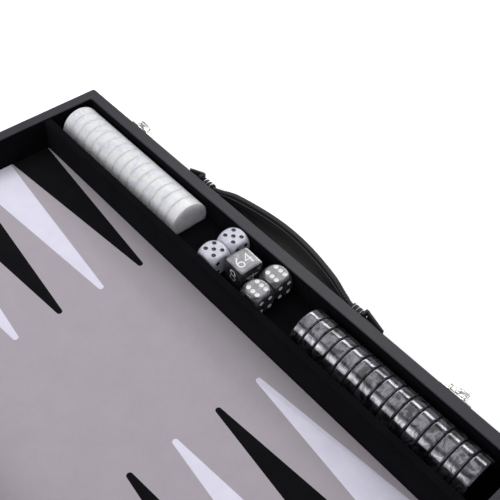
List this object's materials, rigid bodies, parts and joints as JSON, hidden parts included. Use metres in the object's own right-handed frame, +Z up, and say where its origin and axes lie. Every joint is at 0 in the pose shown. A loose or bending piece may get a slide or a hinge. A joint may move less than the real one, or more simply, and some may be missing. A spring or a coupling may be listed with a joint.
{
  "type": "backgammon set",
  "caption": "Backgammon set in a black leatherette briefcase that folds open flat, with suede points, velvet tray, acrylic checkers, dice, doubling cube and carrying handle.",
  "frame": {"origin": "middle of the underside of the handle half", "axes": "+X across the case towards the handle, +Y along the hinge, +Z up, case lying open flat"},
  "size_m": [0.5692, 0.457, 0.0589],
  "materials": {
    "leatherette": "fine grained black leatherette, low sheen",
    "velvet": "short black velvet",
    "suede": "warm light grey brushed suede with inlaid points",
    "nickel": "bright nickel plate",
    "pearl_acrylic": "polished pearl acrylic, marbled",
    "marbled_acrylic": "polished dark grey acrylic, marbled"
  },
  "bodies": {
    "base": {"base_wall_frame": "leatherette", "base_bottom_panel": "leatherette", "base_field_board": "suede", "base_tray_divider": "velvet", "dice_platform": "velvet", "base_hinge_leaf": "nickel", "hinge_pin": "nickel", "handle_bracket_far": "leatherette", "handle_bracket_near": "leatherette", "latch_plate_far": "nickel", "latch_plate_near": "nickel"},
    "lid": {"lid_wall_frame": "leatherette", "lid_bottom_panel": "leatherette", "lid_field_board": "suede", "lid_tray_divider": "velvet", "lid_hinge_leaf": "nickel", "latch_catch_far": "nickel", "latch_catch_near": "nickel"},
    "handle": {"handle_grip": "leatherette", "handle_collar_far": "nickel", "handle_collar_near": "nickel"},
    "latch_far": {"latch_lever_far": "nickel"},
    "latch_near": {"latch_lever_near": "nickel"},
    "doubling_cube": {"doubling_cube": "marbled_acrylic"},
    "white_die_1": {"white_die_1": "pearl_acrylic"},
    "white_die_2": {"white_die_2": "pearl_acrylic"},
    "dark_die_1": {"dark_die_1": "marbled_acrylic"},
    "dark_die_2": {"dark_die_2": "marbled_acrylic"},
    "dice_cup_1": {"dice_cup_1": "leatherette"},
    "dice_cup_2": {"dice_cup_2": "leatherette"},
    "white_checker_01": {"white_checker_01": "pearl_acrylic"},
    "white_checker_02": {"white_checker_02": "pearl_acrylic"},
    "white_checker_03": {"white_checker_03": "pearl_acrylic"},
    "white_checker_04": {"white_checker_04": "pearl_acrylic"},
    "white_checker_05": {"white_checker_05": "pearl_acrylic"},
    "white_checker_06": {"white_checker_06": "pearl_acrylic"},
    "white_checker_07": {"white_checker_07": "pearl_acrylic"},
    "white_checker_08": {"white_checker_08": "pearl_acrylic"},
    "white_checker_09": {"white_checker_09": "pearl_acrylic"},
    "white_checker_10": {"white_checker_10": "pearl_acrylic"},
    "white_checker_11": {"white_checker_11": "pearl_acrylic"},
    "white_checker_12": {"white_checker_12": "pearl_acrylic"},
    "white_checker_13": {"white_checker_13": "pearl_acrylic"},
    "white_checker_14": {"white_checker_14": "pearl_acrylic"},
    "white_checker_15": {"white_checker_15": "pearl_acrylic"},
    "dark_checker_01": {"dark_checker_01": "marbled_acrylic"},
    "dark_checker_02": {"dark_checker_02": "marbled_acrylic"},
    "dark_checker_03": {"dark_checker_03": "marbled_acrylic"},
    "dark_checker_04": {"dark_checker_04": "marbled_acrylic"},
    "dark_checker_05": {"dark_checker_05": "marbled_acrylic"},
    "dark_checker_06": {"dark_checker_06": "marbled_acrylic"},
    "dark_checker_07": {"dark_checker_07": "marbled_acrylic"},
    "dark_checker_08": {"dark_checker_08": "marbled_acrylic"},
    "dark_checker_09": {"dark_checker_09": "marbled_acrylic"},
    "dark_checker_10": {"dark_checker_10": "marbled_acrylic"},
    "dark_checker_11": {"dark_checker_11": "marbled_acrylic"},
    "dark_checker_12": {"dark_checker_12": "marbled_acrylic"},
    "dark_checker_13": {"dark_checker_13": "marbled_acrylic"},
    "dark_checker_14": {"dark_checker_14": "marbled_acrylic"},
    "dark_checker_15": {"dark_checker_15": "marbled_acrylic"}
  },
  "joints": [
    {"name": "lid_fold", "type": "hinge", "parent": "base", "child": "lid", "pos_m": [-0.13835, 0, 0.03915], "axis": [0, -1, 0], "range_deg": [-180, 0]},
    {"name": "handle_swing", "type": "hinge", "parent": "base", "child": "handle", "pos_m": [0.14035, 0.0014, 0.033], "axis": [0, -1, 0], "range_deg": [0, 40]},
    {"name": "latch_far_turn", "type": "hinge", "parent": "base", "child": "latch_far", "pos_m": [0.13905, 0.1612, 0.0375], "axis": [0, -1, 0], "range_deg": [0, 90]},
    {"name": "latch_near_turn", "type": "hinge", "parent": "base", "child": "latch_near", "pos_m": [0.13905, -0.1636, 0.0375], "axis": [0, -1, 0], "range_deg": [0, 90]},
    {"name": "doubling_cube_lift", "type": "slide", "parent": "base", "child": "doubling_cube", "axis": [0, 0, 1], "range_m": [0, 0.045]},
    {"name": "white_die_1_lift", "type": "slide", "parent": "base", "child": "white_die_1", "axis": [0, 0, 1], "range_m": [0, 0.045]},
    {"name": "white_die_2_lift", "type": "slide", "parent": "base", "child": "white_die_2", "axis": [0, 0, 1], "range_m": [0, 0.045]},
    {"name": "dark_die_1_lift", "type": "slide", "parent": "base", "child": "dark_die_1", "axis": [0, 0, 1], "range_m": [0, 0.045]},
    {"name": "dark_die_2_lift", "type": "slide", "parent": "base", "child": "dark_die_2", "axis": [0, 0, 1], "range_m": [0, 0.045]},
    {"name": "dice_cup_1_lift", "type": "slide", "parent": "lid", "child": "dice_cup_1", "axis": [0, 0, 1], "range_m": [0, 0.045]},
    {"name": "dice_cup_2_lift", "type": "slide", "parent": "lid", "child": "dice_cup_2", "axis": [0, 0, 1], "range_m": [0, 0.045]},
    {"name": "white_checker_01_lift", "type": "slide", "parent": "base", "child": "white_checker_01", "axis": [0, 0, 1], "range_m": [0, 0.045]},
    {"name": "white_checker_02_lift", "type": "slide", "parent": "base", "child": "white_checker_02", "axis": [0, 0, 1], "range_m": [0, 0.045]},
    {"name": "white_checker_03_lift", "type": "slide", "parent": "base", "child": "white_checker_03", "axis": [0, 0, 1], "range_m": [0, 0.045]},
    {"name": "white_checker_04_lift", "type": "slide", "parent": "base", "child": "white_checker_04", "axis": [0, 0, 1], "range_m": [0, 0.045]},
    {"name": "white_checker_05_lift", "type": "slide", "parent": "base", "child": "white_checker_05", "axis": [0, 0, 1], "range_m": [0, 0.045]},
    {"name": "white_checker_06_lift", "type": "slide", "parent": "base", "child": "white_checker_06", "axis": [0, 0, 1], "range_m": [0, 0.045]},
    {"name": "white_checker_07_lift", "type": "slide", "parent": "base", "child": "white_checker_07", "axis": [0, 0, 1], "range_m": [0, 0.045]},
    {"name": "white_checker_08_lift", "type": "slide", "parent": "base", "child": "white_checker_08", "axis": [0, 0, 1], "range_m": [0, 0.045]},
    {"name": "white_checker_09_lift", "type": "slide", "parent": "base", "child": "white_checker_09", "axis": [0, 0, 1], "range_m": [0, 0.045]},
    {"name": "white_checker_10_lift", "type": "slide", "parent": "base", "child": "white_checker_10", "axis": [0, 0, 1], "range_m": [0, 0.045]},
    {"name": "white_checker_11_lift", "type": "slide", "parent": "base", "child": "white_checker_11", "axis": [0, 0, 1], "range_m": [0, 0.045]},
    {"name": "white_checker_12_lift", "type": "slide", "parent": "base", "child": "white_checker_12", "axis": [0, 0, 1], "range_m": [0, 0.045]},
    {"name": "white_checker_13_lift", "type": "slide", "parent": "base", "child": "white_checker_13", "axis": [0, 0, 1], "range_m": [0, 0.045]},
    {"name": "white_checker_14_lift", "type": "slide", "parent": "base", "child": "white_checker_14", "axis": [0, 0, 1], "range_m": [0, 0.045]},
    {"name": "white_checker_15_lift", "type": "slide", "parent": "base", "child": "white_checker_15", "axis": [0, 0, 1], "range_m": [0, 0.045]},
    {"name": "dark_checker_01_lift", "type": "slide", "parent": "base", "child": "dark_checker_01", "axis": [0, 0, 1], "range_m": [0, 0.045]},
    {"name": "dark_checker_02_lift", "type": "slide", "parent": "base", "child": "dark_checker_02", "axis": [0, 0, 1], "range_m": [0, 0.045]},
    {"name": "dark_checker_03_lift", "type": "slide", "parent": "base", "child": "dark_checker_03", "axis": [0, 0, 1], "range_m": [0, 0.045]},
    {"name": "dark_checker_04_lift", "type": "slide", "parent": "base", "child": "dark_checker_04", "axis": [0, 0, 1], "range_m": [0, 0.045]},
    {"name": "dark_checker_05_lift", "type": "slide", "parent": "base", "child": "dark_checker_05", "axis": [0, 0, 1], "range_m": [0, 0.045]},
    {"name": "dark_checker_06_lift", "type": "slide", "parent": "base", "child": "dark_checker_06", "axis": [0, 0, 1], "range_m": [0, 0.045]},
    {"name": "dark_checker_07_lift", "type": "slide", "parent": "base", "child": "dark_checker_07", "axis": [0, 0, 1], "range_m": [0, 0.045]},
    {"name": "dark_checker_08_lift", "type": "slide", "parent": "base", "child": "dark_checker_08", "axis": [0, 0, 1], "range_m": [0, 0.045]},
    {"name": "dark_checker_09_lift", "type": "slide", "parent": "base", "child": "dark_checker_09", "axis": [0, 0, 1], "range_m": [0, 0.045]},
    {"name": "dark_checker_10_lift", "type": "slide", "parent": "base", "child": "dark_checker_10", "axis": [0, 0, 1], "range_m": [0, 0.045]},
    {"name": "dark_checker_11_lift", "type": "slide", "parent": "base", "child": "dark_checker_11", "axis": [0, 0, 1], "range_m": [0, 0.045]},
    {"name": "dark_checker_12_lift", "type": "slide", "parent": "base", "child": "dark_checker_12", "axis": [0, 0, 1], "range_m": [0, 0.045]},
    {"name": "dark_checker_13_lift", "type": "slide", "parent": "base", "child": "dark_checker_13", "axis": [0, 0, 1], "range_m": [0, 0.045]},
    {"name": "dark_checker_14_lift", "type": "slide", "parent": "base", "child": "dark_checker_14", "axis": [0, 0, 1], "range_m": [0, 0.045]},
    {"name": "dark_checker_15_lift", "type": "slide", "parent": "base", "child": "dark_checker_15", "axis": [0, 0, 1], "range_m": [0, 0.045]}
  ]
}
